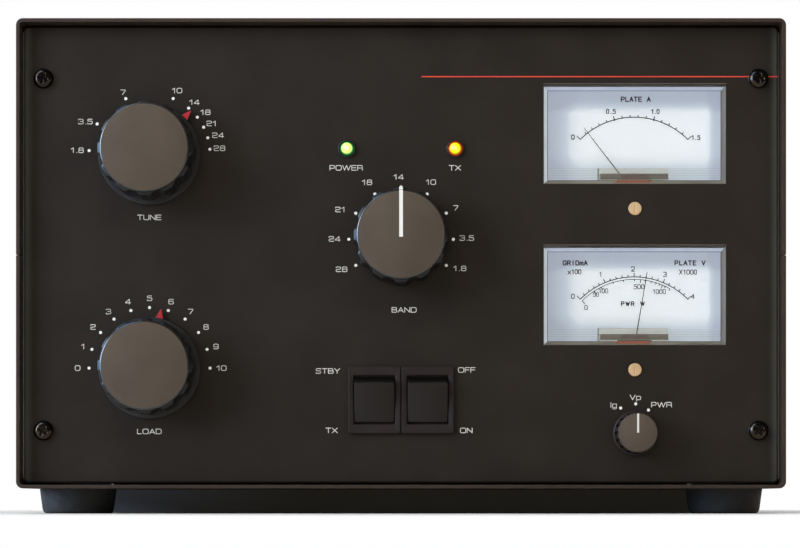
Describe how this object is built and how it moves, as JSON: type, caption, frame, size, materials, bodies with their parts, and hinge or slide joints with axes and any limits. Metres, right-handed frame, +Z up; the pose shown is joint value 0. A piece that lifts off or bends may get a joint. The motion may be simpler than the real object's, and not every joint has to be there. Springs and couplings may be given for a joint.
{
  "type": "hf linear amplifier",
  "caption": "Table-top valve radio-frequency power amplifier: dark two-part metal case, geared tune and load controls, band switch, rocker switches and moving-coil meters.",
  "frame": {"origin": "on the table, under the middle of the whole set, knobs and earth stud included", "axes": "+X to the right seen from the front, +Y from the front to the back, +Z up"},
  "size_m": [0.3686, 0.415, 0.2355],
  "materials": {
    "cover": "satin fine-textured dark paint",
    "front_panel": "matt dark brown-grey paint, printed",
    "rear_panel": "matt dark paint",
    "frame": "zinc-plated sheet",
    "chassis": "plain sheet",
    "panel_screw": "blackened",
    "case_screw": "blackened",
    "foot_rubber": "matt black",
    "drive_metal": "turned",
    "switch_insulator": "glazed steatite",
    "switch_body": "moulded",
    "meter_case": "moulded",
    "meter_dial": "white, printed scale",
    "meter_window": "clear polished moulding",
    "movement": "plain",
    "green_lamp": "lit, clear tinted",
    "amber_lamp": "lit, clear tinted",
    "lamp_bezel": "black",
    "rocker_frame": "satin black",
    "rocker": "satin dark",
    "vane_metal": "plain sheet",
    "coil": "silver-plated copper strap on ceramic cheeks",
    "valve_glass": "clear with silver getter",
    "ceramic": "glazed",
    "winding": "enamelled wire, varnished",
    "transformer": "varnished laminations and windings",
    "capacitor_sleeve": "heat-shrunk sleeve",
    "fan_plastic": "moulded black",
    "relay_cover": "clouded cover",
    "connector_metal": "nickel-plated",
    "earth_metal": "plain",
    "inlet_plastic": "moulded black",
    "knob": "satin black",
    "knob_cap": "matt brown-grey, thin bright rim",
    "pointer_disc": "dark disc with a red arrow",
    "shaft_metal": "turned",
    "needle": "black enamelled pointer",
    "zero_screw": "cream"
  },
  "bodies": {
    "cabinet": {"top_cover": "cover", "bottom_cover": "cover", "front_panel": "front_panel", "rear_panel": "rear_panel", "side_frames": "frame", "chassis": "chassis", "inner_plates": "chassis", "panel_screws": "panel_screw", "case_screws": "case_screw", "feet": "foot_rubber", "reduction_drives": "drive_metal", "band_switch": "switch_insulator", "meter_switch": "switch_body", "plate_meter_case": "meter_case", "grid_meter_case": "meter_case", "plate_meter_dial": "meter_dial", "grid_meter_dial": "meter_dial", "plate_meter_window": "meter_window", "grid_meter_window": "meter_window", "plate_meter_movement": "movement", "grid_meter_movement": "movement", "power_led": "green_lamp", "tx_led": "amber_lamp", "led_bezels": "lamp_bezel", "standby_switch": "rocker_frame", "power_switch": "rocker_frame", "tune_stator": "vane_metal", "load_stator": "vane_metal", "tank_coil": "coil", "valves": "valve_glass", "valve_fittings": "ceramic", "plate_choke": "winding", "transformer": "transformer", "smoothing_bank": "capacitor_sleeve", "fan_frame": "fan_plastic", "relay": "relay_cover", "coax_sockets": "connector_metal", "mains_inlet": "inlet_plastic", "earth_post": "earth_metal", "control_sockets": "connector_metal"},
    "tune_dial": {"tune_pointer": "pointer_disc", "tune_rotor": "vane_metal"},
    "tune_knob": {"tune_knob": "knob", "tune_knob_cap": "knob_cap"},
    "load_dial": {"load_pointer": "pointer_disc", "load_rotor": "vane_metal"},
    "load_knob": {"load_knob": "knob", "load_knob_cap": "knob_cap"},
    "band_selector": {"band_knob": "knob", "band_knob_cap": "knob_cap", "band_rotor": "shaft_metal"},
    "meter_selector": {"meter_knob": "knob", "meter_knob_cap": "knob_cap"},
    "standby_rocker": {"standby_rocker": "rocker"},
    "power_rocker": {"power_rocker": "rocker"},
    "plate_needle": {"plate_needle": "needle"},
    "grid_needle": {"grid_needle": "needle"},
    "plate_zero_screw": {"plate_zero_screw": "zero_screw"},
    "grid_zero_screw": {"grid_zero_screw": "zero_screw"},
    "fan_rotor": {"fan_rotor": "fan_plastic"}
  },
  "joints": [
    {"name": "tune_dial_turn", "type": "hinge", "parent": "cabinet", "child": "tune_dial", "pos_m": [-0.1203, -0.1825, 0.1718], "axis": [0, 1, 0], "range_deg": [-134.3, 45.7]},
    {"name": "tune_knob_turn", "type": "hinge", "parent": "cabinet", "child": "tune_knob", "pos_m": [-0.1203, -0.1825, 0.1718], "axis": [0, 1, 0], "range_deg": [-805.8, 274.2]},
    {"name": "load_dial_turn", "type": "hinge", "parent": "cabinet", "child": "load_dial", "pos_m": [-0.1203, -0.1825, 0.0696], "axis": [0, 1, 0], "range_deg": [-101.7, 78.3]},
    {"name": "load_knob_turn", "type": "hinge", "parent": "cabinet", "child": "load_knob", "pos_m": [-0.1203, -0.1825, 0.0696], "axis": [0, 1, 0], "range_deg": [-610.2, 469.8]},
    {"name": "band_turn", "type": "hinge", "parent": "cabinet", "child": "band_selector", "pos_m": [0, -0.1825, 0.1312], "axis": [0, 1, 0], "range_deg": [-120, 120]},
    {"name": "meter_select_turn", "type": "hinge", "parent": "cabinet", "child": "meter_selector", "pos_m": [0.1119, -0.1825, 0.0383], "axis": [0, 1, 0], "range_deg": [-30, 28]},
    {"name": "standby_rock", "type": "hinge", "parent": "cabinet", "child": "standby_rocker", "pos_m": [-0.01275, -0.1796, 0.0543], "axis": [-1, 0, 0], "range_deg": [0, 28]},
    {"name": "power_rock", "type": "hinge", "parent": "cabinet", "child": "power_rocker", "pos_m": [0.01275, -0.1796, 0.0543], "axis": [-1, 0, 0], "range_deg": [0, 28]},
    {"name": "plate_needle_swing", "type": "hinge", "parent": "cabinet", "child": "plate_needle", "pos_m": [0.1119, -0.1732, 0.1548], "axis": [0, 1, 0], "range_deg": [-7.3, 82.7], "stiffness_Nm_per_rad": 0.0003},
    {"name": "grid_needle_swing", "type": "hinge", "parent": "cabinet", "child": "grid_needle", "pos_m": [0.1119, -0.1732, 0.0777], "axis": [0, 1, 0], "range_deg": [-54.7, 35.3], "stiffness_Nm_per_rad": 0.0003},
    {"name": "plate_zero_turn", "type": "hinge", "parent": "cabinet", "child": "plate_zero_screw", "pos_m": [0.1119, -0.1825, 0.1459], "axis": [0, 1, 0], "continuous": true},
    {"name": "grid_zero_turn", "type": "hinge", "parent": "cabinet", "child": "grid_zero_screw", "pos_m": [0.1119, -0.1825, 0.0688], "axis": [0, 1, 0], "continuous": true},
    {"name": "fan_spin", "type": "hinge", "parent": "cabinet", "child": "fan_rotor", "pos_m": [-0.087, 0.168, 0.11], "axis": [0, 1, 0], "continuous": true}
  ],
  "couplings": [
    {"joint": "tune_knob_turn", "follows": "tune_dial_turn", "ratio": 6},
    {"joint": "load_knob_turn", "follows": "load_dial_turn", "ratio": 6}
  ]
}
